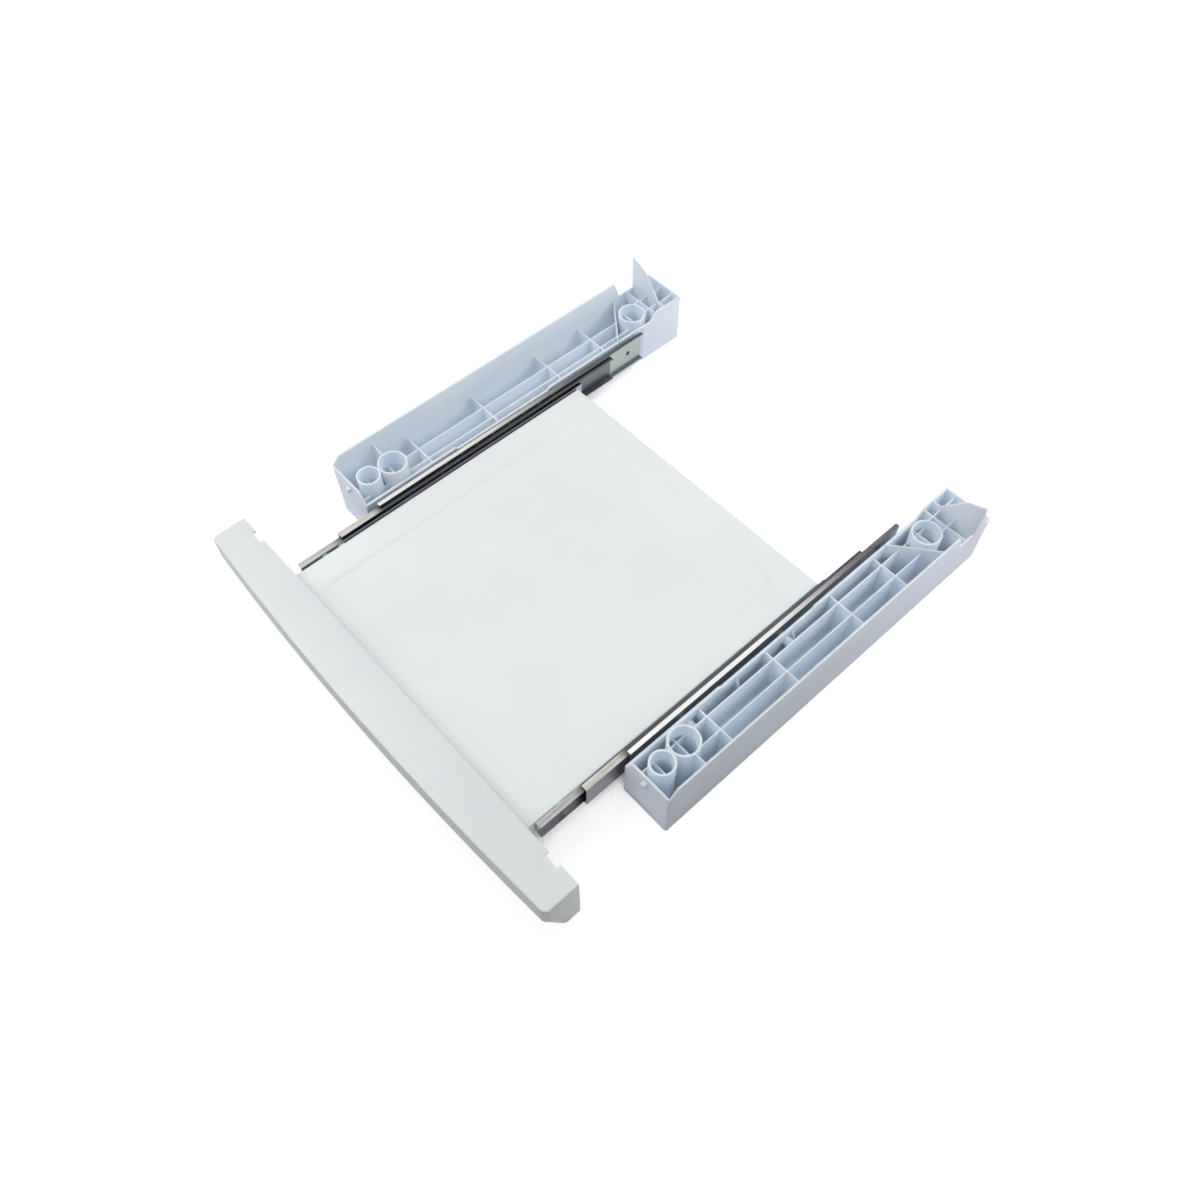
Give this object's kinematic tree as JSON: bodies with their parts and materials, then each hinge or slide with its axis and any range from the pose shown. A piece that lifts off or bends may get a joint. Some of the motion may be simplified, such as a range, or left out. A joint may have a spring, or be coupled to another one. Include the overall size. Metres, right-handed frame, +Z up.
{
  "type": "laundry stacking kit with pull-out shelf",
  "caption": "Stacking kit for a dryer on a washing machine: two ribbed side arms with foot cups and a tray that slides out on telescopic ball rails behind a bowed front bar.",
  "frame": {"origin": "under the middle of the whole kit with its shelf part pulled out as modelled, in the plane the arms stand on", "axes": "+X towards the kit's right side as seen from its front, +Y from the front bar to the back, +Z up"},
  "size_m": [0.604, 0.7245, 0.119],
  "materials": {
    "arm_plastic": "moulded, satin",
    "bar_plastic": "moulded, fine satin",
    "white_paint": "smooth powder coat",
    "rail_zinc": "zinc plated",
    "cage_steel": "oiled",
    "ball_steel": "polished",
    "screw_steel": "dark zinc"
  },
  "bodies": {
    "arms": {"left_arm": "arm_plastic", "right_arm": "arm_plastic", "left_outer_rail": "rail_zinc", "right_outer_rail": "rail_zinc", "left_rail_screws": "screw_steel", "right_rail_screws": "screw_steel"},
    "shelf": {"shelf_tray": "white_paint", "front_bar": "bar_plastic", "front_bar_screws": "screw_steel", "left_inner_rail": "rail_zinc", "right_inner_rail": "rail_zinc", "left_tray_screws": "screw_steel", "right_tray_screws": "screw_steel"},
    "middle_rails": {"left_middle_rail": "rail_zinc", "right_middle_rail": "rail_zinc"},
    "outer_cages": {"left_outer_ball_cage": "cage_steel", "right_outer_ball_cage": "cage_steel", "left_outer_balls": "ball_steel", "right_outer_balls": "ball_steel"},
    "inner_cages": {"left_inner_ball_cage": "cage_steel", "right_inner_ball_cage": "cage_steel", "left_inner_balls": "ball_steel", "right_inner_balls": "ball_steel"}
  },
  "joints": [
    {"name": "shelf_slide", "type": "slide", "parent": "arms", "child": "shelf", "axis": [0, -1, 0], "range_m": [-0.122, 0.278]},
    {"name": "middle_rail_slide", "type": "slide", "parent": "arms", "child": "middle_rails", "axis": [0, -1, 0], "range_m": [-0.061, 0.139]},
    {"name": "outer_cage_slide", "type": "slide", "parent": "arms", "child": "outer_cages", "axis": [0, -1, 0], "range_m": [-0.0305, 0.0695]},
    {"name": "inner_cage_slide", "type": "slide", "parent": "arms", "child": "inner_cages", "axis": [0, -1, 0], "range_m": [-0.0915, 0.2085]}
  ],
  "couplings": [
    {"joint": "middle_rail_slide", "follows": "shelf_slide", "ratio": 0.5},
    {"joint": "outer_cage_slide", "follows": "shelf_slide", "ratio": 0.25},
    {"joint": "inner_cage_slide", "follows": "shelf_slide", "ratio": 0.75}
  ]
}
